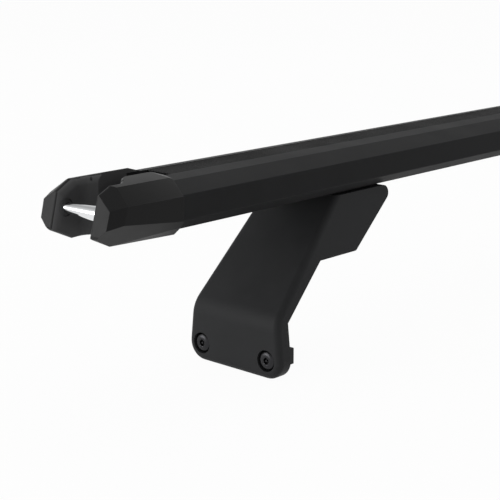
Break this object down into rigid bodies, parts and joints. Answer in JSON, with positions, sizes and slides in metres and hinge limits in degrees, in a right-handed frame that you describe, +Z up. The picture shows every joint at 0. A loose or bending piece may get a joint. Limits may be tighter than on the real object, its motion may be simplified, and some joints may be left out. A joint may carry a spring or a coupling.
{
  "type": "roof rack crossbar",
  "caption": "Roof rack crossbar: an extruded bar with a slot along its top, forked end caps with tie-down pins, and cast feet that slide under it and bolt to a roof bracket.",
  "frame": {"origin": "centre of the bounding box at the bottom edge of the feet", "axes": "+X along the bar from the left foot to the right one, +Y across it, +Z up"},
  "size_m": [1.524, 0.0864, 0.1533],
  "materials": {
    "bar": "satin black powder coat on extruded aluminium",
    "strip": "dull black rubber",
    "cap": "fine-textured black moulding",
    "screw": "blackened steel",
    "pin": "polished",
    "foot": "satin black powder coat on a casting",
    "pad": "dull black rubber",
    "bolt": "blackened, lightly polished crown",
    "steel": "zinc plated"
  },
  "bodies": {
    "bar": {"bar_extrusion": "bar", "slot_infill_strip": "strip", "end_cap_left": "cap", "end_cap_right": "cap", "end_cap_screws_left": "screw", "end_cap_screws_right": "screw", "tie_down_pin_left": "pin", "tie_down_pin_right": "pin"},
    "foot_left": {"foot_casting_left": "foot", "foot_saddle_pad_left": "pad", "mounting_bolts_left": "bolt", "backing_pad_left": "pad", "channel_nut_left": "steel", "clamp_bolts_left": "steel", "clamp_plate_left": "steel"},
    "foot_right": {"foot_casting_right": "foot", "foot_saddle_pad_right": "pad", "mounting_bolts_right": "bolt", "backing_pad_right": "pad", "channel_nut_right": "steel", "clamp_bolts_right": "steel", "clamp_plate_right": "steel"}
  },
  "joints": [
    {"name": "foot_left_slide", "type": "slide", "parent": "bar", "child": "foot_left", "axis": [1, 0, 0], "range_m": [-0.06, 0.25]},
    {"name": "foot_right_slide", "type": "slide", "parent": "bar", "child": "foot_right", "axis": [-1, 0, 0], "range_m": [-0.06, 0.25]}
  ]
}
